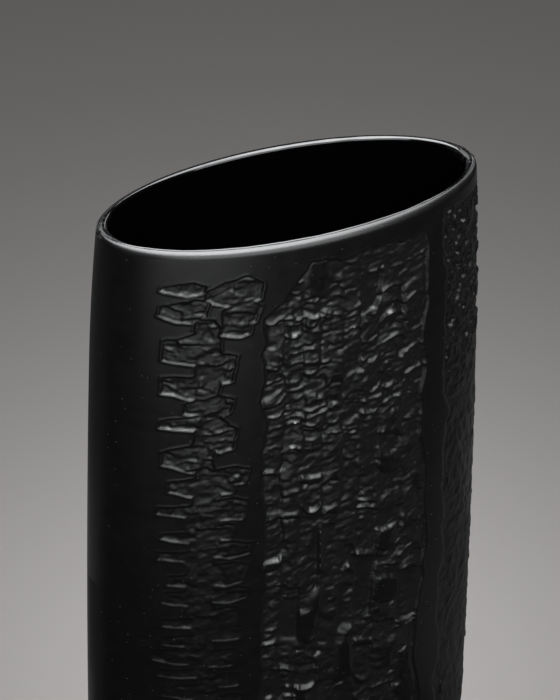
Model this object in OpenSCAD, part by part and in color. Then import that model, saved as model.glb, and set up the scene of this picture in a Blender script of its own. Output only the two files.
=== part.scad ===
// Tall oval vase in black clay, hand-built from two pressed wall slabs on a
// floor slab and glazed inside. Units are millimetres. The foot rests on
// Z = 0, the long axis of the mouth is X and the front faces -Y.

/* [Outline] */
// Height from the foot to the rim
vase_h = 260; // [250:5:270]
// Outside length of the mouth along its long axis
mouth_l = 114; // [110:1:116]
// Outside length at the belly, the widest level
belly_l = 124.2; // [122:0.2:128]
// Height of the belly above the foot
belly_z = 50; // [44:1:60]
// Drop from the rim down to the shoulder, where the sides straighten
shoulder_drop = 50; // [46:1:54]
// Share of the widening from mouth to belly that the shoulder has
shoulder_share = 0.55; // [0.5:0.01:0.6]
// Outside length of the foot
foot_l = 115; // [110:1:118]
// Outside depth of the vase as a share of its length
flatness = 0.403; // [0.385:0.003:0.415]

/* [Clay] */
// Thickness of the wall slabs
wall_t = 2.8; // [2.6:0.1:3.2]
// Thickness of the floor slab
floor_t = 5; // [4.5:0.5:6]
// Height over which the lip is rounded off
lip_r = 1; // [0.8:0.1:1.2]
// Bevel round the bottom edge of the floor slab
foot_bevel = 1.2; // [0.8:0.2:1.6]
// Depth of the hollow under the floor slab
underside_h = 1.2; // [0.8:0.2:1.6]
// Width of the oval face the vase stands on
stand_w = 7; // [6:0.5:8]

/* [Seams] */
// Width of the clay coil pressed into each side seam
coil_w = 5; // [4:0.5:6]
// Depth the side coils are pressed into the wall
coil_t = 1.3; // [1.1:0.1:1.5]
// Gap from the rim down to the top of the side coils
coil_top = 4; // [3:1:6]
// Reach of the clay coil smoothed into the floor corner
corner_r = 6; // [5:0.5:7]

/* [Bark panels] */
// Depth of the pressed panels in the wall
panel_t = 0.6; // [0.4:0.1:0.7]
// Left and right edge of the left panel, as shares of the half length
left_panel = [-0.75, -0.35];
// Left and right edge of the centre panel, as shares of the half length
centre_panel = [-0.26, 0.64];
// Left edge of the right panel, which wraps round the end
right_panel = [0.74, 1.3];
// Gap from the rim down to the left, centre and right panels
panel_drop = [9, 9, 8];
// Height of the smooth band above the foot
foot_band = 12; // [10:1:16]

/* [Glaze] */
// Thickness of the gloss coat inside
glaze_t = 0.5; // [0.4:0.1:0.6]

/* [Hidden] */
$fn = 96;
big = 300;
clay = [0.06, 0.06, 0.06];
damp_clay = [0.12, 0.11, 0.11];
gloss = [0.02, 0.02, 0.02];

// Half lengths of the outline and the level of the shoulder
xm = mouth_l / 2;
xb = belly_l / 2;
xs = xm + shoulder_share * (xb - xm);
xf = foot_l / 2;
zs = vase_h - shoulder_drop;

// The outline is three arcs that meet smoothly: foot to belly, belly to
// shoulder, shoulder to rim
rf = (pow(xb - xf, 2) + pow(belly_z, 2)) / (2 * (xb - xf));
rb = (pow(xb - xs, 2) + pow(zs - belly_z, 2)) / (2 * (xb - xs));
lean = asin((zs - belly_z) / rb);
rs = -(pow(xm - xs, 2) + pow(shoulder_drop, 2)) /
     (2 * ((xm - xs) * cos(lean) + shoulder_drop * sin(lean)));
shoulder_c = [xs - rs * cos(lean), zs - rs * sin(lean)];

// Half length at level z of the outline moved inward by t
function half(z, t) =
    z < belly_z ? xb - rf + sqrt(pow(rf - t, 2) - pow(z - belly_z, 2)) :
    z < zs ? xb - rb + sqrt(pow(rb - t, 2) - pow(z - belly_z, 2)) :
    shoulder_c[0] + sqrt(pow(rs - t, 2) - pow(z - shoulder_c[1], 2));

// Depth over length of the outline moved inward by t
function ratio(t) = (xb * flatness - t) / (xb - t);

// n levels after z0, up to and with z1
function levels(z0, z1, n) = [for (i = [1:n]) z0 + (z1 - z0) * i / n];

// Levels from the top of the floor corner to the start of the lip
upper_levels = concat(levels(floor_t + corner_r, belly_z, 6),
                      levels(belly_z, zs, 5),
                      levels(zs, vase_h - lip_r, 5));

// Outline points at a list of levels
function side(zz, t) = [for (z = zz) [half(z, t), z]];

// Curve from p to r that leaves and arrives along the lines through q
function corner(p, q, r, n) =
    [for (i = [0:n]) let (s = i / n)
        (1 - s) * (1 - s) * p + 2 * s * (1 - s) * q + s * s * r];

// Points of the floor corner of the inside, moved inward by t
function floor_corner(t, lift) =
    let (z0 = floor_t + lift, z1 = floor_t + corner_r, x0 = half(z0, t))
    corner([x0 - corner_r, z0], [x0, z0], [half(z1, t), z1], 6);

// Oval solid from a profile, squashed front to back as at depth t
module oval(profile, t) {
    scale([1, ratio(t), 1])
        rotate_extrude()
            polygon(profile);
}

// Solid outline of the vase moved inward by t, with square ends
module outline(t, z0, z1) {
    zz = concat([z0, floor_t, floor_t + corner_r], upper_levels, [z1]);
    oval(concat([[0, z0]], side(zz, t), [[0, z1]]), t);
}

// Space inside the walls before the floor corner is filled
module wall_space() {
    zz = concat([floor_t, floor_t + corner_r], upper_levels);
    lip = [half(vase_h, wall_t) + lip_r, vase_h + 0.01];
    oval(concat([[0, floor_t]], side(zz, wall_t), [lip, [0, vase_h + 0.01]]), wall_t);
}

module front_half() {
    translate([-big / 2, -big, floor_t])
        cube([big, big, big]);
}

// Prism that marks one panel on the front, its edges following the outline
module panel_mark(edges, drop) {
    z1 = vase_h - drop;
    rotate([90, 0, 0])
        linear_extrude(big)
            polygon([[edges[0] * half(foot_band, 0), foot_band],
                     [edges[1] * half(foot_band, 0), foot_band],
                     [edges[1] * xb, belly_z],
                     [edges[1] * half(z1, 0), z1],
                     [edges[0] * half(z1, 0), z1],
                     [edges[0] * xb, belly_z]]);
}

// What is pressed out of the front for the three bark panels
module panels() {
    difference() {
        union() {
            panel_mark(left_panel, panel_drop[0]);
            panel_mark(centre_panel, panel_drop[1]);
            panel_mark(right_panel, panel_drop[2]);
        }
        outline(panel_t, floor_t, vase_h - lip_r);
    }
}

// One pressed wall slab, the front one
module wall() {
    difference() {
        intersection() {
            oval(concat([[0, floor_t]],
                        side(concat([floor_t, floor_t + corner_r], upper_levels), 0),
                        [[half(vase_h, 0) - lip_r, vase_h], [0, vase_h]]), 0);
            front_half();
        }
        wall_space();
        side_coil_space();
        panels();
    }
}

// Room in the walls for both side coils
module side_coil_space() {
    intersection() {
        outline(wall_t - coil_t, floor_t, vase_h - coil_top);
        translate([-big / 2, -coil_w / 2, floor_t])
            cube([big, coil_w, vase_h - coil_top - floor_t]);
    }
}

// The coil at the +X end
module side_coil() {
    difference() {
        intersection() {
            side_coil_space();
            translate([0, -big / 2, 0])
                cube([big, big, big]);
        }
        wall_space();
    }
}

module front_wall() {
    color(clay)
        wall();
}

module back_wall() {
    color(clay)
        mirror([0, 1, 0])
            wall();
}

module left_seam_coil() {
    color(damp_clay)
        mirror([1, 0, 0])
            side_coil();
}

module right_seam_coil() {
    color(damp_clay)
        side_coil();
}

module floor_slab() {
    xr = half(0, 0) - stand_w;
    below = 2;
    color(clay)
        difference() {
            oval([[0, underside_h],
                  [xr - underside_h, underside_h],
                  [xr + below, -below],
                  [half(0, 0) - foot_bevel - below, -below],
                  [half(foot_bevel, 0), foot_bevel],
                  [half(floor_t, 0), floor_t],
                  [0, floor_t]], 0);
            translate([-big / 2, -big / 2, -big])
                cube(big);
        }
}

module floor_seam_coil() {
    color(damp_clay)
        oval(concat(floor_corner(wall_t, 0), [[half(floor_t, wall_t), floor_t]]), wall_t);
}

module glaze_lining() {
    t = wall_t + glaze_t;
    z1 = vase_h - lip_r;
    color(gloss)
        difference() {
            oval(concat([[0, floor_t]], floor_corner(wall_t, 0), side(upper_levels, wall_t),
                        [[0, z1]]), wall_t);
            oval(concat([[0, floor_t + glaze_t]], floor_corner(t, glaze_t),
                        side(upper_levels, t), [[half(z1, t), z1 + 1], [0, z1 + 1]]), t);
        }
}

front_wall();
back_wall();
left_seam_coil();
right_seam_coil();
floor_slab();
floor_seam_coil();
glaze_lining();
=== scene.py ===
"""Looks of a tall oval vase in black clay: pressed bark relief, rounded lip, gloss glaze inside.

Lengths in the relief and outline code are millimetres; meshes are scaled to metres as they are made.
Arc is the distance round the wall from its left end (-X) by way of the front (-Y), and back by the rear.
Depth is the distance down from the rim.
"""

import math

import bpy
import numpy as np
from mathutils import Matrix, Vector


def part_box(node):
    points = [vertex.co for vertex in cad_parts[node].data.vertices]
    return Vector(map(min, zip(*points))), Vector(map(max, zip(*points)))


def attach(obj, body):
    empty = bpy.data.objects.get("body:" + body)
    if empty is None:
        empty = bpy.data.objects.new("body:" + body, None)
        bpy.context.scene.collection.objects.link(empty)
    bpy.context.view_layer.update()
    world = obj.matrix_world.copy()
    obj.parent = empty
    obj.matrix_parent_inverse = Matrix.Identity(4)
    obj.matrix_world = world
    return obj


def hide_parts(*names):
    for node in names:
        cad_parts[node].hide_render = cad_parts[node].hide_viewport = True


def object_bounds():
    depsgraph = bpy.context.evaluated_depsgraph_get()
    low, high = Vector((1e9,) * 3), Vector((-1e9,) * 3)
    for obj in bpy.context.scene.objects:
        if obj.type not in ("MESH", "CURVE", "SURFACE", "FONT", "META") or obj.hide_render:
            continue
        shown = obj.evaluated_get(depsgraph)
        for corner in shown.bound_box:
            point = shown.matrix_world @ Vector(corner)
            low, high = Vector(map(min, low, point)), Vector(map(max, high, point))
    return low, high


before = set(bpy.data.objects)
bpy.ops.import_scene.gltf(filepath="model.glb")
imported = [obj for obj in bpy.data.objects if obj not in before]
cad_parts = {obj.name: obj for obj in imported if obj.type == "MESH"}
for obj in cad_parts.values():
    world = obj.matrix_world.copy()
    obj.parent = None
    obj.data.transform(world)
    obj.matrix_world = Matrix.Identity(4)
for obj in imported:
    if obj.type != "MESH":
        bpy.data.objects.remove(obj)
cad_low, cad_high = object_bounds()

MM = 0.001
SEED = 11

# --------------------------------------------------------------------------------------- outline

# Half lengths of the oval at the foot, belly, shoulder and mouth, and the levels of the middle two
HEIGHT = cad_high.z / MM
BELLY_HALF = -cad_low.x / MM
MOUTH_HALF = 0.9179 * BELLY_HALF
SHOULDER_HALF = 0.9631 * BELLY_HALF
FOOT_HALF = 0.9259 * BELLY_HALF
BELLY_LEVEL = 50.0
SHOULDER_LEVEL = HEIGHT - 50.0
FLATNESS = 0.403  # depth of the oval as a share of its length
WALL = 2.8  # wall thickness
FLOOR_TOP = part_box("floor_slab")[1].z / MM

# The outline is three arcs that meet smoothly, as in the frame
foot_arc = ((BELLY_HALF - FOOT_HALF) ** 2 + BELLY_LEVEL**2) / (2 * (BELLY_HALF - FOOT_HALF))
rise = SHOULDER_LEVEL - BELLY_LEVEL
belly_arc = ((BELLY_HALF - SHOULDER_HALF) ** 2 + rise**2) / (2 * (BELLY_HALF - SHOULDER_HALF))
lean = math.asin(rise / belly_arc)
drop, draw_in = HEIGHT - SHOULDER_LEVEL, MOUTH_HALF - SHOULDER_HALF
shoulder_arc = -(draw_in**2 + drop**2) / (2 * (draw_in * math.cos(lean) + drop * math.sin(lean)))
shoulder_x = SHOULDER_HALF - shoulder_arc * math.cos(lean)
shoulder_z = SHOULDER_LEVEL - shoulder_arc * math.sin(lean)


def half_length(z, inset=0.0):
    """Half the vase's length at level z, measured inset inside the outline."""
    z = np.asarray(z, float)
    foot = BELLY_HALF - foot_arc + np.sqrt(np.maximum((foot_arc - inset) ** 2 - (z - BELLY_LEVEL) ** 2, 0))
    belly = BELLY_HALF - belly_arc + np.sqrt((belly_arc - inset) ** 2 - (z - BELLY_LEVEL) ** 2)
    top = shoulder_x + np.sqrt(np.maximum((shoulder_arc - inset) ** 2 - (z - shoulder_z) ** 2, 0))
    return np.where(z < BELLY_LEVEL, foot, np.where(z < SHOULDER_LEVEL, belly, top))


def half_depth(z, inset=0.0):
    """Half the vase's depth at level z, measured inset inside the outline."""
    share = (BELLY_HALF * FLATNESS - inset) / (BELLY_HALF - inset)
    return half_length(z, inset) * share


# Angle round the oval for each arc position, measured at the shoulder: 0 at the left end, pi/2 in front
_angles = np.linspace(0, 2 * math.pi, 8001)
_steps = SHOULDER_HALF * np.hypot(np.diff(np.cos(_angles)), FLATNESS * np.diff(np.sin(_angles)))
_arcs = np.concatenate([[0], np.cumsum(_steps)])
FULL_ARC = float(_arcs[-1])
HALF_ARC = FULL_ARC / 2


def oval_angle(arc):
    """Angle round the oval at an arc position."""
    return np.interp(arc, _arcs, _angles)


def surface(arc, z, inset):
    """Points on the oval wall, inset inside the outline, in millimetres."""
    angle = oval_angle(arc)
    x = -half_length(z) * np.cos(angle)
    y = -half_depth(z) * np.sin(angle)
    nx, ny = -np.cos(angle) * FLATNESS, -np.sin(angle)
    length = np.hypot(nx, ny)
    return np.stack([x - inset * nx / length, y - inset * ny / length, z + 0 * x], -1)


def oval_points(angle, z, inset):
    """Points on the inset oval at an angle, for inner surfaces that follow the frame's own ovals."""
    x = -half_length(z, inset) * np.cos(angle)
    y = -half_depth(z, inset) * np.sin(angle)
    return np.stack([x, y, z + 0 * x], -1)


# ----------------------------------------------------------------------------------------- noise

def smooth(x):
    """An eased ramp from 0 at x = 0 to 1 at x = 1."""
    x = np.clip(x, 0, 1)
    return x * x * (3 - 2 * x)


def lattice_noise(rng, u, v, cell_u, cell_v):
    """Smooth noise from -1 to 1 at the points u, v."""
    nu = int(math.ceil(u.max() / cell_u)) + 3
    nv = int(math.ceil(v.max() / cell_v)) + 3
    grid = rng.uniform(-1, 1, (nv, nu)).astype(np.float32)
    x, y = np.maximum(u / cell_u, 0), np.maximum(v / cell_v, 0)
    i, j = x.astype(np.int32), y.astype(np.int32)
    fx, fy = smooth(x - i), smooth(y - j)
    top = grid[j, i] * (1 - fx) + grid[j, i + 1] * fx
    low = grid[j + 1, i] * (1 - fx) + grid[j + 1, i + 1] * fx
    return top * (1 - fy) + low * fy


def drift(rng, along, wave):
    """Smooth noise from -1 to 1 that changes along one direction only."""
    return lattice_noise(rng, along * 0, along, 1, wave)


def wander(rng, along, middle, swing, wave):
    """A line that wanders about its middle, at each point along it."""
    return middle + swing * (drift(rng, along, wave) + 0.5 * drift(rng, along, wave / 3))


def fractal(rng, u, v, cell_u, cell_v, octaves):
    """Noise summed over octaves, each half as large and half as strong."""
    return sum(lattice_noise(rng, u, v, cell_u / 2**k, cell_v / 2**k) / 2**k for k in range(octaves))


def blur(grid, sigma):
    """Gaussian blur, sigma in grid steps."""
    reach = int(math.ceil(3 * sigma))
    weights = np.exp(-0.5 * (np.arange(-reach, reach + 1) / sigma) ** 2)
    weights /= weights.sum()
    for _ in range(2):
        rows = grid.shape[0]
        padded = np.pad(grid, [(reach, reach), (0, 0)], mode="edge")
        grid = sum(w * padded[i : i + rows] for i, w in enumerate(weights)).T
    return grid


def cells(rng, u, v, cell_u, cell_v, tilt):
    """Random facets: each Voronoi cell is a tilted plane at its own level, heights about -1 to 1."""
    nu, nv = int(u.max() / cell_u) + 5, int(v.max() / cell_v) + 5
    shift_u, shift_v = rng.uniform(-0.43, 0.43, (2, nv, nu))
    level = rng.uniform(-1, 1, (nv, nu))
    slope_u, slope_v = rng.normal(0, tilt, (2, nv, nu))
    x, y = np.maximum(u / cell_u + 1, 1), np.maximum(v / cell_v + 1, 1)
    i, j = x.astype(np.int32), y.astype(np.int32)
    best = np.full(u.shape, 9.0)
    height = np.zeros(u.shape)
    for di in (-1, 0, 1):
        for dj in (-1, 0, 1):
            a, b = i + di, j + dj
            dx = x - (a + 0.5 + shift_u[b, a])
            dy = y - (b + 0.5 + shift_v[b, a])
            distance = dx * dx + dy * dy
            nearer = distance < best
            best[nearer] = distance[nearer]
            plane = level[b, a] + slope_u[b, a] * dx + slope_v[b, a] * dy
            height[nearer] = plane[nearer]
    return height


# ----------------------------------------------------------------------------------- bark relief

GRID = 0.25  # spacing of the relief grids
BARK_BOTTOM = HEIGHT - 12.0
STEP_WIDTH = 0.7  # width of the step down round a panel
DEEPEST = 1.6  # the bark is never pressed deeper than this
PROUDEST = 0.05  # nor stands further above the wall
FAR = 99.0  # a distance beyond any outline
BLEND_HALF = 6  # front and back relief blend over this much on either side of the right end

# Middles of the lines that divide the bark, as arc positions
WIDE_EDGES = (54.0, 60.5, 66.5, 73.0, 79.0, 85.0, 91.0, 99.0, 107.5)
NARROW_EDGES = np.arange(50, 114, 4.2)
LEAF_EDGES = (20.0, 29.0, 36.0, 43.5, 54.0)


def bark_bottom(rng, u):
    """The wandering lower edge of the panels."""
    return wander(rng, u, BARK_BOTTOM - 2.5, 1.5, 5)


def outside(corners, u, v):
    """Distance to a convex outline with corners in (arc, depth) order, positive outside it."""
    middle = np.mean(corners, axis=0)
    distance = np.full(u.shape, -FAR)
    for (x0, y0), (x1, y1) in zip(corners, corners[1:] + corners[:1]):
        nx, ny = y1 - y0, x0 - x1
        length = math.hypot(nx, ny)
        if (middle[0] - x0) * nx + (middle[1] - y0) * ny > 0:
            nx, ny = -nx, -ny
        distance = np.maximum(distance, ((u - x0) * nx + (v - y0) * ny) / length)
    return distance


def rungs(rng, u, v, edges, pitch, bow_size):
    """Curved rungs stacked between wandering edges. Each has its own level and a raised lower shelf."""
    height = np.zeros(u.shape)
    to_edge = np.full(u.shape, 9.0)
    deepest = v.max() + 10
    for left, right in zip(edges[:-1], edges[1:]):
        width = np.maximum(right - left, 0.5)
        across = 2 * (u - left) / width - 1
        here = (across >= -1) & (across < 1)
        slant = rng.uniform(-0.3, 0.2) + 0.4 * drift(rng, v, 14) - 0.2 * smooth((v - 80) / 50)
        bow = bow_size * (rng.uniform(-0.4, 0.5) + 0.9 * drift(rng, v, 10))
        place = v + slant * across * width / 2 + bow * (across**2 - 0.5) + 4
        steps = np.clip(pitch * rng.gamma(2.2, 1 / 2.2, int(4 * deepest / pitch)), 0.9, 9)
        ends = np.cumsum(steps)
        # Rungs grow taller further down, and more of them lie flat
        ends += 1.1 * np.maximum(ends - 85, 0)
        ends = ends[ends < deepest + 10]
        n = len(ends)
        k = np.clip(np.searchsorted(ends, place), 1, n - 1)
        down = np.clip((place - ends[k - 1]) / (ends[k] - ends[k - 1]), 0, 1)
        level = rng.uniform(-0.7, 0.5, n)
        turn = rng.normal(0, 0.35, n)
        crown = rng.normal(0.15, 0.35, n)
        calm = 0.36 * smooth((ends - 80) / 60)
        shelf = np.minimum(rng.gamma(1.1, 1.05, n), 3.2) * (rng.random(n) > calm)
        start = 1 - rng.uniform(0.8, 1.7, n) / np.diff(ends, prepend=ends[0] - 3)
        start = np.clip(start, 0.1, 0.75)
        rung = level[k] + turn[k] * across + crown[k] * (1 - across**2)
        rung += shelf[k] * smooth((down - start[k]) / (1 - start[k])) * (1 - 0.35 * across**2)
        rung -= 0.3 * smooth((0.3 - down) / 0.3)
        rung += rng.uniform(-0.45, 0.35) + 0.35 * drift(rng, v, 18)
        rung += 0.25 * across * drift(rng, v, 12)
        height = np.where(here, rung, height)
        to_edge = np.where(here, (1 - np.abs(across)) * width / 2, to_edge)
    return height, to_edge


# Leaves of the left column's upper half, each as (left tip, right tip, top, tip height, body height);
# plainer ones follow below
UPPER_LEAVES = (
    (22.5, 37.0, 10.0, 1.2, 5.0),
    (22.5, 38.0, 16.0, 3.5, 9.0),
    (36.0, 53.5, 9.0, 4.0, 12.0),
    (41.5, 53.0, 18.5, 4.0, 9.0),
    (41.0, 50.5, 22.5, 5.0, 8.5),
    (24.0, 41.5, 28.5, 7.5, 12.5),
    (34.0, 46.0, 36.5, 7.0, 11.0),
    (24.0, 42.0, 44.5, 8.0, 9.0),
    (31.0, 45.5, 51.5, 4.0, 10.0),
    (23.5, 40.0, 60.0, 3.0, 6.0),
    (35.0, 46.5, 64.0, 5.0, 10.0),
    (24.5, 40.0, 71.0, 5.0, 11.0),
)


def leaf_outline(left, right, top, tip, body):
    """A leaf: blunt at its left tip, tallest past its middle, and blunt again at its right."""
    middle = left + 0.62 * (right - left)
    lean = 0.5 * (body - tip)
    return [
        (left + 0.6, top + lean),
        (left, top + lean + tip),
        (middle, top + body),
        (right - 1.0, top + lean + 1.2 * tip),
        (right, top + lean * 0.7),
        (middle + 1.5, top),
    ]


def left_outline(rng, u, v):
    """The left column: a wandering core, with leaves across it above and short ones below."""
    inner = wander(rng, v, 34.0, 1.6, 9)
    outer = wander(rng, v, 41.5, 2.0, 8)
    sides = np.maximum(inner - u, u - outer)
    distance = np.maximum(sides, np.maximum(24.0 - v, v - bark_bottom(rng, u)))
    leaves = list(UPPER_LEAVES)
    depth = 84.0
    while depth < BARK_BOTTOM - 8:
        tip = rng.uniform(2.0, 4.5)
        left, right = rng.uniform(23.0, 27.0), rng.uniform(38, 41)
        leaves.append((left, right, depth, tip, tip + rng.uniform(0.5, 3.5)))
        depth += rng.uniform(5.5, 12.0)
    depth = 80.0
    while depth < BARK_BOTTOM - 10:
        tip = rng.uniform(3.0, 7.0)
        left, right = rng.uniform(34.0, 38.0), rng.uniform(45.0, 52.0)
        leaves.append((left, right, depth, tip, tip + rng.uniform(1.0, 4.0)))
        depth += tip + rng.uniform(1.0, 6.0)
    for leaf in leaves:
        distance = np.minimum(distance, outside(leaf_outline(*leaf), u, v))
    return distance


def centre_outline(rng, u, v):
    """The centre panel, with its upper left corner cut off aslant."""
    left = wander(rng, v, 54.5, 1.6, 13)
    right = wander(rng, v, 107.0, 1.6, 22)
    top = wander(rng, u, 8.5, 1.3, 6) + 1.3 * np.clip(68 - u, 0, 16)
    sides = np.maximum(left - u, u - right)
    return np.maximum(sides, np.maximum(top - v, v - bark_bottom(rng, u)))


def right_outline(rng, u, v):
    """The right panel, which runs on round the right end."""
    left = wander(rng, v, 115.0, 1.2, 14) - 1.5 * smooth((20 - v) / 6)
    top = wander(rng, u, 7.0, 1.5, 7)
    return np.maximum(left - u, np.maximum(top - v, v - bark_bottom(rng, u)))


def pressed(distance, bark, depth, strength, burr):
    """Relief of one panel: clay pushed up round its outline, a step down, then its bark."""
    inside = smooth(0.5 - distance / STEP_WIDTH)
    fade = 0.35 + 0.65 * smooth(-distance / 1.4)
    pushed_up = burr * np.exp(-(((distance - 0.2) / 0.36) ** 2))
    return pushed_up - inside * np.clip(depth - bark * strength * fade, -PROUDEST, DEEPEST)


def centre_bark(rng, u, v, ju, jv, upper):
    """Bark of the centre panel: stacked rungs of two sizes over facets, melted smooth in places."""
    wide = [wander(rng, v, middle, 0.9, 22) for middle in WIDE_EDGES]
    narrow = [wander(rng, v, middle, 0.7, 9) for middle in NARROW_EDGES]
    big, to_edge = rungs(rng, ju, jv, wide, 4.6, 3.4)
    small, _ = rungs(rng, ju, jv, narrow, 2.1, 1.8)
    facets = cells(rng, ju, jv, 3.0, 2.4, 0.9)
    fine = cells(rng, ju, jv, 1.4, 1.2, 1.0)
    mix = smooth(0.5 + 1.3 * fractal(rng, u, v, 11, 11, 2))
    melted = smooth(2.0 * lattice_noise(rng, u, v, 9, 14) - 0.7)
    sharp = big * (1 - 0.4 * mix * upper) + 0.5 * small * mix * upper
    sharp = sharp + (0.2 + 0.1 * upper) * facets + 0.1 * fine
    soft = blur(big, 0.8 / GRID)
    bark = blur(sharp, 0.25 / GRID) * (1 - melted) + 1.5 * soft * melted
    crack = np.exp(-((to_edge / 0.35) ** 2)) * smooth(0.3 + 1.5 * lattice_noise(rng, u, v, 7, 14))
    return bark + blur(crack, 0.2 / GRID) * (0.5 - 0.95 * upper) * (1 - 0.6 * melted)


def left_bark(rng, v, ju, jv):
    """Bark of the left column: short rungs and facets."""
    lanes = [wander(rng, v, middle, 1.2, 10) for middle in LEAF_EDGES]
    leaf, _ = rungs(rng, ju, jv, lanes, 4.0, 1.5)
    bark = 0.5 * leaf + 0.4 * cells(rng, ju, jv, 3.2, 2.8, 0.9) + 0.2 * cells(rng, ju, jv, 1.6, 1.4, 1.0)
    return blur(bark, 0.25 / GRID)


def right_bark(rng, u, v, ju, jv):
    """Bark of the right panel: flowing facets, with finer ones near the rim."""
    flow = v + 4 * lattice_noise(rng, u, v, 12, 30)
    bark = 0.5 * cells(rng, ju, flow, 1.5, 3.0, 0.8) + 0.6 * cells(rng, ju, flow, 3.0, 5.0, 0.8)
    bark += 0.4 * cells(rng, ju, jv, 1.4, 1.4, 0.8) * smooth((80 - v) / 30)
    return blur(bark, 0.2 / GRID)


def bark_relief(rng, u, v):
    """Relief of one side of the vase, from its left end at arc 0 to its right end."""
    warp_u, warp_v = fractal(rng, u, v, 7, 7, 4), fractal(rng, u, v, 7, 7, 4)
    upper = smooth((120 - v) / 60)
    ju, jv = u + (0.2 + 0.35 * upper) * warp_u, v + (0.3 + 0.3 * upper) * warp_v
    centre = centre_bark(rng, u, v, ju, jv, upper)
    left = left_bark(rng, v, ju, jv)
    right = right_bark(rng, u, v, ju, jv)
    centre_edge, right_edge = centre_outline(rng, ju, jv), right_outline(rng, ju, jv)
    left_edge = left_outline(rng, u + 0.6 * warp_u, v + 0.6 * warp_v)
    # The left column gets shallower further down, the right panel too, and the centre near the rim
    deep = 0.3 + 0.7 * smooth((140 - v) / 90)
    near_top = smooth((80 - v) / 30)
    below_rim = 0.55 + 0.45 * smooth((v - 8) / 16)
    relief = (
        pressed(centre_edge, centre, 0.95 * below_rim, (0.97 - 0.34 * upper) * below_rim, 0.14)
        + pressed(left_edge, left, 0.05 + 0.41 * deep, 0.56 * deep**0.75, 0.02 + 0.28 * deep)
        + pressed(right_edge, right, 0.3 + 0.15 * near_top, 0.24 + 0.66 * near_top, 0.0)
    )
    return blur(relief, 0.14 / GRID)


def relief_maps():
    """Relief grids of the front and the back, each reaching a little past the right end."""
    arcs = np.arange(0, HALF_ARC + 12, GRID)
    depths = np.arange(0, HEIGHT + 1, GRID)
    u, v = np.meshgrid(arcs, depths)
    return [bark_relief(np.random.default_rng(SEED + side), u, v) for side in (0, 1)]


front_relief, back_relief = relief_maps()


def sample(grid, arc, depth):
    """Bilinear look-up in a relief grid."""
    x = np.clip(arc / GRID, 0, grid.shape[1] - 1.001)
    y = np.clip(depth / GRID, 0, grid.shape[0] - 1.001)
    i, j = x.astype(int), y.astype(int)
    fx, fy = x - i, y - j
    top = grid[j, i] * (1 - fx) + grid[j, i + 1] * fx
    low = grid[j + 1, i] * (1 - fx) + grid[j + 1, i + 1] * fx
    return top * (1 - fy) + low * fy


def relief_at(arc, depth):
    """Relief at any arc round the whole vase, blended where front and back meet at the right end."""
    front = sample(front_relief, arc, depth)
    back = sample(back_relief, FULL_ARC - arc, depth)
    share = smooth((arc - HALF_ARC + BLEND_HALF) / (2 * BLEND_HALF))
    meet = front * (1 - share) + back * share
    return np.where(arc < HALF_ARC - BLEND_HALF, front, np.where(arc > HALF_ARC + BLEND_HALF, back, meet))


# ---------------------------------------------------------------------------------------- meshes

LIP_OUT, LIP_FALL = 1.8, 2.5  # width and height of the lip's outer curve
LIP_IN, LIP_IN_FALL = 1.0, 1.2  # and of its inner curve
COIL_HALF, COIL_DEEP, COIL_DROP = 2.6, 1.3, 4.0  # groove of a seam coil: half width, depth, gap below the rim
CREASE = 0.02  # half the width of a sharp step in the mesh
FRONT_STEP, BACK_STEP = 0.36, 0.6  # column spacing of the walls' meshes
LOW_STEP, HIGH_STEP, FINE_FROM = 0.6, 0.38, 60  # row spacing below and above the level where it gets fine
LIP_BAND = 6  # height of the smooth band at the rim, which has coarser rows
GLAZE = 0.45  # thickness of the glaze
CORNER = 6.0  # radius of the coil between floor and walls
FOOT_EDGE, FOOT_FACE, FOOT_HOLLOW = 1.6, 6.5, 1.2  # foot: bevel, inner side of its face, hollow within
SHARP_ANGLE = math.radians(75)


def new_piece(name, points, faces):
    """A smooth mesh piece from points in millimetres, with creases only at its corners."""
    mesh = bpy.data.meshes.new(name)
    mesh.from_pydata((np.asarray(points) * MM).tolist(), [], faces)
    mesh.validate()
    mesh.shade_smooth()
    mesh.set_sharp_from_angle(angle=SHARP_ANGLE)
    piece = bpy.data.objects.new(name, mesh)
    bpy.context.scene.collection.objects.link(piece)
    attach(piece, "root")
    return piece


def ring_faces(rows, columns):
    """Quads over a tube of points stored row by row, with a cap at each end."""
    i, j = np.meshgrid(np.arange(rows - 1), np.arange(columns), indexing="ij")
    k = (j + 1) % columns
    quads = np.stack([i * columns + j, i * columns + k, (i + 1) * columns + k, (i + 1) * columns + j], -1)
    first = list(range(columns))[::-1]
    last = list(range((rows - 1) * columns, rows * columns))
    return quads.reshape(-1, 4).tolist() + [first, last]


def oval_wall(arc, z, inset):
    """Points of the wall: true offsets near the outside, the frame's own ovals at the inside."""
    share = np.clip(inset / WALL, 0, 1)[..., None]
    return surface(arc, z, inset) * (1 - share) + oval_points(oval_angle(arc), z, inset) * share


def wall_arcs(step):
    """Arc positions of a wall's columns: a step apart in the bark, and fine at the seams."""
    seam = np.array([0, 0.12, 0.4, 0.9, 1.6, COIL_HALF - CREASE, COIL_HALF + CREASE, 3.4])
    margin = np.concatenate([np.arange(3.8, 9, 0.5), np.arange(9, 21, 1.2)])
    bark = np.arange(21, HALF_ARC - 3, step)
    return np.concatenate([seam, margin, bark, HALF_ARC - seam[:-1][::-1]])


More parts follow.
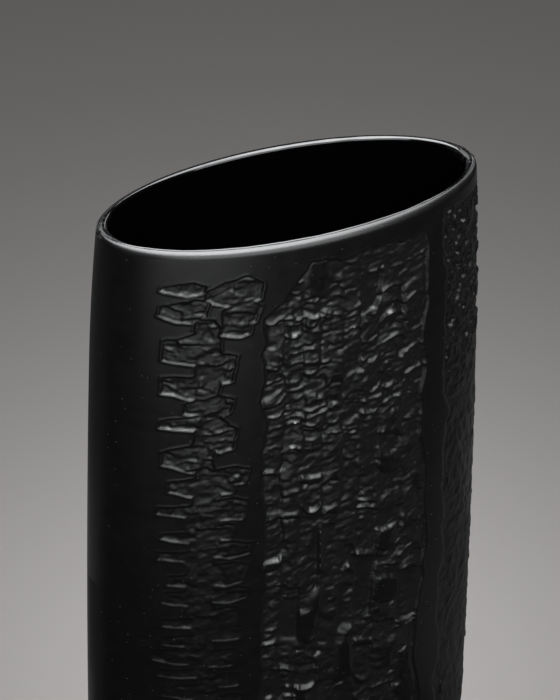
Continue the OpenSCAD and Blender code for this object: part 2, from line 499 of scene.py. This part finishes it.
def outer_rows():
    """Rows up the outside and over the lip to its inner side, as (height, inset)."""
    low = np.arange(FLOOR_TOP, FINE_FROM, LOW_STEP)
    high = np.arange(FINE_FROM, HEIGHT - LIP_BAND, HIGH_STEP)
    smooth_band = np.arange(HEIGHT - LIP_BAND, HEIGHT - LIP_FALL, 0.7)
    rows = [(z, 0.0) for z in np.concatenate([low, high, smooth_band])]
    for t in np.linspace(0, math.pi / 2, 12):
        rows.append((HEIGHT - LIP_FALL * (1 - math.sin(t)), LIP_OUT * (1 - math.cos(t))))
    for t in np.linspace(0, math.pi / 2, 7)[1:]:
        rows.append((HEIGHT - LIP_IN_FALL * (1 - math.cos(t)), LIP_OUT + LIP_IN * math.sin(t)))
    return rows


def beside_seams(arc):
    """Distance round the wall to the nearer seam."""
    return np.minimum(arc % HALF_ARC, HALF_ARC - arc % HALF_ARC)


def pinched_lip(arc, z, inset):
    """The same section with a thinner, sharper lip beside the seams, where the walls were pinched."""
    scale = 1 - 0.55 * np.exp(-((beside_seams(arc) / 9.0) ** 2))
    depth = HEIGHT - z
    low = scale + (1 - scale) * smooth((depth - LIP_FALL) / 5)
    spread = (WALL - LIP_OUT * scale) / (WALL - LIP_OUT)
    outer, inner = inset <= LIP_OUT, inset >= WALL
    moved = np.where(outer, inset * scale, np.where(inner, inset, WALL - (WALL - inset) * spread))
    return np.where(outer, HEIGHT - depth * low, z), moved


def nicks(arc, z, inset):
    """Small chips in the outer side of the lip beside the seams."""
    rng = np.random.default_rng(SEED + 40)
    below = HEIGHT - z + inset
    chip = lattice_noise(rng, arc, below, 1.1, 0.8) + 0.5 * lattice_noise(rng, arc, below, 0.6, 0.5)
    on_lip = smooth((z - HEIGHT + LIP_FALL) / 1.5) * smooth((LIP_OUT - inset) / 0.6)
    return 0.5 * np.maximum(chip, 0) * on_lip * np.exp(-((beside_seams(arc) / 4.5) ** 2))


def wall_piece(name, node, is_front):
    """One wall slab with its bark, lip and the grooves for the seam coils."""
    outer = outer_rows()
    inner = [(z, WALL) for z in np.linspace(HEIGHT - COIL_DROP + 1, FLOOR_TOP, 24)]
    inner[1:1] = [(HEIGHT - COIL_DROP + CREASE, WALL), (HEIGHT - COIL_DROP - CREASE, WALL)]
    rows = np.array(outer + inner)
    arcs = wall_arcs(FRONT_STEP) if is_front else FULL_ARC - wall_arcs(BACK_STEP)[::-1]
    z, arc = np.meshgrid(rows[:, 0], arcs, indexing="ij")
    inset = np.repeat(rows[:, 1:], len(arcs), axis=1)
    is_outer = np.arange(len(rows))[:, None] < len(outer)
    in_coil = ~is_outer & (beside_seams(arc) < COIL_HALF) & (z < HEIGHT - COIL_DROP)
    z, inset = pinched_lip(arc, z, inset)
    relief = relief_at(arc, HEIGHT - z) * is_outer
    chips = nicks(arc, z, inset) * is_outer
    points = oval_wall(arc, z, inset - relief + chips - in_coil * COIL_DEEP)
    # The section runs up the outside and down the inside, and its two ends close at the seams
    points = points.transpose(1, 0, 2).reshape(-1, 3)
    faces = ring_faces(arc.shape[1], arc.shape[0])
    piece = new_piece(name, points, faces)
    attribute = piece.data.attributes.new("recess", "FLOAT", "POINT")
    attribute.data.foreach_set("value", np.ascontiguousarray(-relief.T).ravel().astype(np.float32))
    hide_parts(node)
    return piece


def round_arcs(step):
    """Arc positions evenly round the whole oval."""
    return np.linspace(0, FULL_ARC, int(FULL_ARC / step), endpoint=False)


def floor_piece():
    """The floor slab, with a softened foot edge and a shallow hollow underneath."""
    rng = np.random.default_rng(SEED + 20)
    edge_turns, hollow_turns = np.linspace(0.1, math.pi / 2, 8), np.linspace(0.2, math.pi / 2, 6)
    rows = [(z, 0.0) for z in np.linspace(FLOOR_TOP, FOOT_EDGE, 8)]
    rows += [(FOOT_EDGE * (1 - math.sin(t)), FOOT_EDGE * (1 - math.cos(t))) for t in edge_turns]
    rows += [(0.0, x) for x in np.linspace(FOOT_EDGE + 0.6, FOOT_FACE, 8)]
    rows += [(FOOT_HOLLOW * (1 - math.cos(t)), FOOT_FACE + FOOT_HOLLOW * math.sin(t)) for t in hollow_turns]
    rows = np.array(rows)
    z, arc = np.meshgrid(rows[:, 0], round_arcs(0.8), indexing="ij")
    inset = np.repeat(rows[:, 1:], arc.shape[1], axis=1)
    wear = lattice_noise(rng, arc, z + inset, 3.5, 2.0)
    wear *= smooth(1 - np.abs(inset - 0.8))
    wear *= smooth((2.5 - z) / 2)
    points = oval_wall(arc, z, inset + 0.12 * wear)
    points[..., 2] = np.maximum(points[..., 2], 0)
    piece = new_piece("floor_slab_smoothed", points.reshape(-1, 3), ring_faces(*arc.shape))
    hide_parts("floor_slab")
    return piece


def glaze_path():
    """Section of the surface under the glaze, from the lip to the floor, as (height, inset)."""
    turns = np.linspace(0, math.pi / 2, 10)
    path = [(HEIGHT - LIP_IN_FALL * (1 - math.cos(t)), LIP_OUT + LIP_IN * math.sin(t)) for t in turns]
    path += [(HEIGHT - 1.8, WALL), (HEIGHT - 3, WALL)]
    path += [(z, WALL) for z in np.linspace(HEIGHT - 6, FLOOR_TOP + CORNER, 50)]
    for s in np.linspace(0, 1, 10)[1:]:
        path.append((FLOOR_TOP + CORNER * (1 - s) ** 2, WALL + CORNER * s**2))
    path.append((FLOOR_TOP, WALL + CORNER + 2))
    return np.array(path)


def glaze_piece():
    """The gloss coat: thin at its wavy edge on the lip, thicker where it ran into the floor corner."""
    rng = np.random.default_rng(SEED + 30)
    path = glaze_path()
    arcs = round_arcs(1.1)
    along = np.gradient(path, axis=0)
    along /= np.hypot(along[:, 0], along[:, 1])[:, None]
    normal = np.stack([along[:, 1], -along[:, 0]], 1)
    run = np.concatenate([[0], np.cumsum(np.hypot(*np.diff(path, axis=0).T))])
    thick = GLAZE * np.sqrt(np.clip(run / 1.6, 0, 1)) + 0.25 * smooth((30 - path[:, 0]) / 25)
    waves = lattice_noise(rng, arcs, arcs * 0, 6.0, 1) + 0.5 * lattice_noise(rng, arcs, arcs * 0, 2.0, 1)
    waves *= smooth(np.minimum(arcs, FULL_ARC - arcs) / 6)
    runs = fractal(rng, arcs[None, :] + 0 * path[:, :1], path[:, :1] + 0 * arcs[None, :], 14, 40, 2)
    runs *= smooth(np.minimum(arcs, FULL_ARC - arcs) / 8)
    spread = np.exp(-((run / 0.8) ** 2))[:, None] * 0.14 * waves
    under = [path[:, :1] + 0 * arcs, path[:, 1:] + spread]
    lift = thick[:, None] * (1 + 0.12 * runs)
    top = [under[0] + normal[:, :1] * lift, under[1] + normal[:, 1:] * lift]
    z = np.concatenate([under[0][::-1], top[0][1:]])
    inset = np.concatenate([under[1][::-1], top[1][1:]])
    arc = np.repeat(arcs[None, :], len(z), axis=0)
    z, inset = pinched_lip(arc, z, inset)
    points = oval_wall(arc, z, inset)
    piece = new_piece("glaze_coat", points.reshape(-1, 3), ring_faces(*z.shape))
    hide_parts("glaze_lining")
    return piece


front = wall_piece("front_wall_pressed", "front_wall", True)
back = wall_piece("back_wall_pressed", "back_wall", False)
slab = floor_piece()
coat = glaze_piece()

# ------------------------------------------------------------------------------------- materials


def principled(name, **values):
    """A new material with its Principled shader's sockets set, as (material, node tree, shader)."""
    material = bpy.data.materials.new(name)
    material.use_nodes = True
    shader = material.node_tree.nodes["Principled BSDF"]
    for key, value in values.items():
        shader.inputs[key.replace("_", " ")].default_value = value
    return material, material.node_tree, shader


def add_node(tree, kind, links=(), **settings):
    """A node with its settings, and its inputs linked or set from (input, source) pairs."""
    node = tree.nodes.new(kind)
    for key, value in settings.items():
        setattr(node, key, value)
    for key, source in dict(links).items():
        if hasattr(source, "is_output"):
            tree.links.new(source, node.inputs[key])
        else:
            node.inputs[key].default_value = source
    return node


def noise_at(tree, place, scale, detail=3.0, roughness=0.55):
    """Noise in space, as a value from 0 to 1 that keeps near 0.5."""
    links = {"Vector": place, "Scale": scale, "Detail": detail, "Roughness": roughness}
    return add_node(tree, "ShaderNodeTexNoise", links).outputs["Fac"]


def combine(tree, operation, *values):
    """The result of a Math node on values or sockets."""
    return add_node(tree, "ShaderNodeMath", enumerate(values), operation=operation).outputs[0]


def add_bump(tree, shader, height, strength, distance):
    """Fine relief in the shading only; distance is its height in metres."""
    bump = add_node(tree, "ShaderNodeBump", {"Height": height, "Strength": strength, "Distance": distance})
    tree.links.new(bump.outputs["Normal"], shader.inputs["Normal"])


def remap(tree, value, low, high, to_low, to_high):
    """The value moved from the range low..high to the range to_low..to_high, and kept inside it."""
    links = {"Value": value, "From Min": low, "From Max": high, "To Min": to_low, "To Max": to_high}
    return add_node(tree, "ShaderNodeMapRange", links).outputs["Result"]


def specks(tree, place, spacing, size, share):
    """Sparse round specks: 1 inside one, 0 elsewhere."""
    voronoi = add_node(tree, "ShaderNodeTexVoronoi", {"Vector": place, "Scale": 1 / spacing})
    spot = remap(tree, voronoi.outputs["Distance"], size / spacing * 0.5, size / spacing, 1, 0)
    chance = add_node(tree, "ShaderNodeSeparateColor", {"Color": voronoi.outputs["Color"]}).outputs["Red"]
    chosen = remap(tree, chance, 1 - share, 1 - share + 0.01, 0, 1)
    return combine(tree, "MULTIPLY", spot, chosen)


def mix_colors(tree, share, first, second):
    """The first colour where share is 0, the second where it is 1."""
    node = add_node(tree, "ShaderNodeMix", data_type="RGBA")
    for socket, source in zip((node.inputs[0], node.inputs[6], node.inputs[7]), (share, first, second)):
        if hasattr(source, "is_output"):
            tree.links.new(source, socket)
        else:
            socket.default_value = source
    return node.outputs[2]


def clay_material():
    """Satin black clay: fine grain, uneven burnish, a little rougher in the pressed bark, dust specks."""
    material, tree, shader = principled("black_clay", Specular_IOR_Level=0.5)
    place = add_node(tree, "ShaderNodeTexCoord").outputs["Object"]
    recess = add_node(tree, "ShaderNodeAttribute", attribute_name="recess").outputs["Fac"]
    blotch = remap(tree, noise_at(tree, place, 90), 0.35, 0.65, 0, 1)
    dark = mix_colors(tree, blotch, (0.0004, 0.0004, 0.0005, 1), (0.0008, 0.0007, 0.0007, 1))
    dust = specks(tree, place, 0.0022, 0.00020, 0.5)
    color = mix_colors(tree, dust, dark, (0.03, 0.03, 0.03, 1))
    tree.links.new(color, shader.inputs["Base Color"])
    burnish = remap(tree, noise_at(tree, place, 240, 4.0), 0.3, 0.7, 0.29, 0.33)
    pressed_in = remap(tree, recess, 0.05, 0.35, 0, 0.07)
    tree.links.new(combine(tree, "ADD", burnish, pressed_in), shader.inputs["Roughness"])
    add_bump(tree, shader, noise_at(tree, place, 2600, 2.0), 0.35, 0.00006)
    return material


def bare_patches(tree, place):
    """Mottled patches at the seam ends of the lip, where the glaze is thin and rough."""
    axes = add_node(tree, "ShaderNodeSeparateXYZ", {"Vector": place})
    along = combine(tree, "ABSOLUTE", axes.outputs["X"])
    end = remap(tree, along, (MOUTH_HALF - 6.5) * MM, (MOUTH_HALF - 3) * MM, 0, 1)
    top = remap(tree, axes.outputs["Z"], (HEIGHT - 3.5) * MM, (HEIGHT - 1) * MM, 0, 0.5)
    mottle = remap(tree, noise_at(tree, place, 900, 4.0), 0.42, 0.66, 0, 1)
    return combine(tree, "MULTIPLY", combine(tree, "MULTIPLY", end, top), mottle)


def glaze_material():
    """Gloss black glaze with a faint ripple, a few dust specks and rough patches at the lip's two ends."""
    material, tree, shader = principled("gloss_glaze", Specular_IOR_Level=0.5)
    place = add_node(tree, "ShaderNodeTexCoord").outputs["Object"]
    dust = specks(tree, place, 0.009, 0.00025, 0.3)
    patches = bare_patches(tree, place)
    color = mix_colors(tree, dust, (0.0003, 0.0003, 0.0003, 1), (0.01, 0.01, 0.01, 1))
    color = mix_colors(tree, patches, color, (0.014, 0.014, 0.015, 1))
    tree.links.new(color, shader.inputs["Base Color"])
    gloss = remap(tree, noise_at(tree, place, 300), 0.3, 0.7, 0.06, 0.11)
    tree.links.new(combine(tree, "MULTIPLY_ADD", patches, 0.4, gloss), shader.inputs["Roughness"])
    add_bump(tree, shader, noise_at(tree, place, 160, 2.0), 0.25, 0.00005)
    return material


def seam_material():
    """Rougher clay of the coils, dragged by fingers."""
    material, tree, shader = principled("seam_clay", Roughness=0.7)
    place = add_node(tree, "ShaderNodeTexCoord").outputs["Object"]
    smear = noise_at(tree, place, 350, 4.0)
    color = mix_colors(tree, smear, (0.010, 0.009, 0.009, 1), (0.022, 0.020, 0.019, 1))
    tree.links.new(color, shader.inputs["Base Color"])
    add_bump(tree, shader, smear, 0.5, 0.0003)
    return material


clay, glaze, seam = clay_material(), glaze_material(), seam_material()
for piece in (front, back, slab):
    piece.data.materials.append(clay)
coat.data.materials.append(glaze)
for name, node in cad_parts.items():
    node.data.materials.clear()
    node.data.materials.append(glaze if name == "glaze_lining" else seam if "coil" in name else clay)

# ----------------------------------------------------------------------- camera, stage and light

# Camera: angles in radians, distances in millimetres
TURN = math.radians(19.54)
TILT = math.radians(40.93)
ROLL = math.radians(1.092)
DISTANCE = 1287.8
SHIFT_RIGHT, SHIFT_UP = 2.33, 45.10
LENS = 231.4

# Lights and floor, in metres
WHITE = (1, 1, 1)
COOL = (0.965, 0.985, 1.0)
SOFTBOX_LEVEL = 0.877
CARD_LEVEL = 0.002
FLOOR_REACH = 6.0
# The four softboxes over the vase, each as (x, width, radiance)
SOFTBOXES = ((-0.43, 0.31, 11.5), (-0.137, 0.273, 18), (0.117, 0.234, 16), (0.351, 0.234, 10))
SOFTBOX_Y, SOFTBOX_LENGTH = -0.32, 1.08


def add_camera():
    """The camera looks down at the vase from the front left; its axis passes below the rim's centre."""
    right0 = Vector((math.cos(TURN), -math.sin(TURN), 0))
    up0 = Vector((math.sin(TURN) * math.sin(TILT), math.cos(TURN) * math.sin(TILT), math.cos(TILT)))
    ahead = Vector((math.sin(TURN) * math.cos(TILT), math.cos(TURN) * math.cos(TILT), -math.sin(TILT)))
    right = right0 * math.cos(ROLL) + up0 * math.sin(ROLL)
    up = up0 * math.cos(ROLL) - right0 * math.sin(ROLL)
    place = Vector((0, 0, HEIGHT)) - right * SHIFT_RIGHT - up * SHIFT_UP - ahead * DISTANCE
    camera = bpy.data.objects.new("camera", bpy.data.cameras.new("camera"))
    camera.data.lens = LENS
    camera.data.sensor_width = 36
    camera.data.clip_start, camera.data.clip_end = 0.05, 20
    turned = Matrix((right, up, -ahead)).transposed().to_4x4()
    camera.matrix_world = Matrix.Translation(place * MM) @ turned
    bpy.context.scene.collection.objects.link(camera)
    bpy.context.scene.camera = camera


def add_light(name, place, aim, size, radiance, color, only):
    """A soft rectangular light of a given radiance, seen only by the surfaces in one collection."""
    light = bpy.data.objects.new(name, bpy.data.lights.new(name, "AREA"))
    light.data.shape = "RECTANGLE"
    light.data.size, light.data.size_y = size
    light.data.energy = radiance * math.pi * size[0] * size[1]
    light.data.color = color
    light.location = place
    light.rotation_mode = "QUATERNION"
    light.rotation_quaternion = (Vector(aim) - Vector(place)).to_track_quat("-Z", "Y")
    light.visible_camera = False
    light.light_linking.receiver_collection = only
    bpy.context.scene.collection.objects.link(light)


def add_softbox(name, x, y, size, radiance):
    """A softbox above the vase, facing down."""
    add_light(name, (x, y, SOFTBOX_LEVEL), (x, y, 0), size, radiance, COOL, vase_only)


def add_card(name, x, y, size, radiance, color=WHITE):
    """A glowing card on the floor, facing up, for the vase's gloss to reflect."""
    add_light(name, (x, y, CARD_LEVEL), (x, y, 1), size, radiance, color, vase_only)


def add_floor():
    """A wide pale floor, which the vase's gloss doesn't reflect: cards on it stand in for that."""
    mesh = bpy.data.meshes.new("floor")
    far = FLOOR_REACH
    mesh.from_pydata([(-far, -far, 0), (far, -far, 0), (far, far, 0), (-far, far, 0)], [], [(0, 1, 2, 3)])
    floor = bpy.data.objects.new("floor", mesh)
    floor.visible_glossy = False
    bpy.context.scene.collection.objects.link(floor)
    paper, _, _ = principled("floor_paper", Base_Color=(0.56, 0.54, 0.53, 1), Roughness=0.95)
    mesh.materials.append(paper)
    return floor


def collection_of(name, objects):
    """A collection of the given objects, for lights to be linked to."""
    collection = bpy.data.collections.new(name)
    for item in objects:
        collection.objects.link(item)
    return collection


add_camera()
floor = add_floor()
vase_only = collection_of("vase_only", (front, back, slab, coat, *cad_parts.values()))
floor_only = collection_of("floor_only", (floor,))

for k, (x, width, radiance) in enumerate(SOFTBOXES):
    add_softbox("overhead_softbox_%d" % k, x, SOFTBOX_Y, (width, SOFTBOX_LENGTH), radiance)
add_softbox("rear_softbox", -0.46, 0.5, (0.4, 0.5), 5)
add_softbox("back_fill", -0.14, 0.62, (0.56, 0.5), 3)
add_softbox("back_right_fill", 0.95, 0.6, (0.5, 0.8), 5)
add_light("front_fill", (0.05, -1.4, 0.66), (0.05, 0, 0.3), (1.5, 1.25), 3.3, COOL, vase_only)
add_card("front_bounce", -0.18, -0.46, (0.34, 0.26), 1.15, COOL)
add_card("right_bounce", 0.32, 0.16, (0.45, 0.5), 0.08)
add_card("left_bounce", -0.30, 0.20, (0.4, 0.4), 0.045)
add_card("back_bounce", 0, 0.97, (2.0, 1.0), 0.6)
add_card("near_back_bounce", 0, 0.12, (0.9, 0.16), 0.13)
add_light("floor_pool", (0.02, 0.05, 0.25), (0.02, 0.05, 0), (0.06, 0.06), 38, WHITE, floor_only)
add_light("floor_wide", (0.0, 0.3, 1.6), (0.0, 0.3, 0), (0.8, 0.8), 1.55, WHITE, floor_only)

world = bpy.data.worlds.new("studio")
world.use_nodes = True
world.node_tree.nodes["Background"].inputs["Color"].default_value = (0.025, 0.025, 0.025, 1)
bpy.context.scene.world = world
bpy.context.scene.view_settings.view_transform = "Standard"
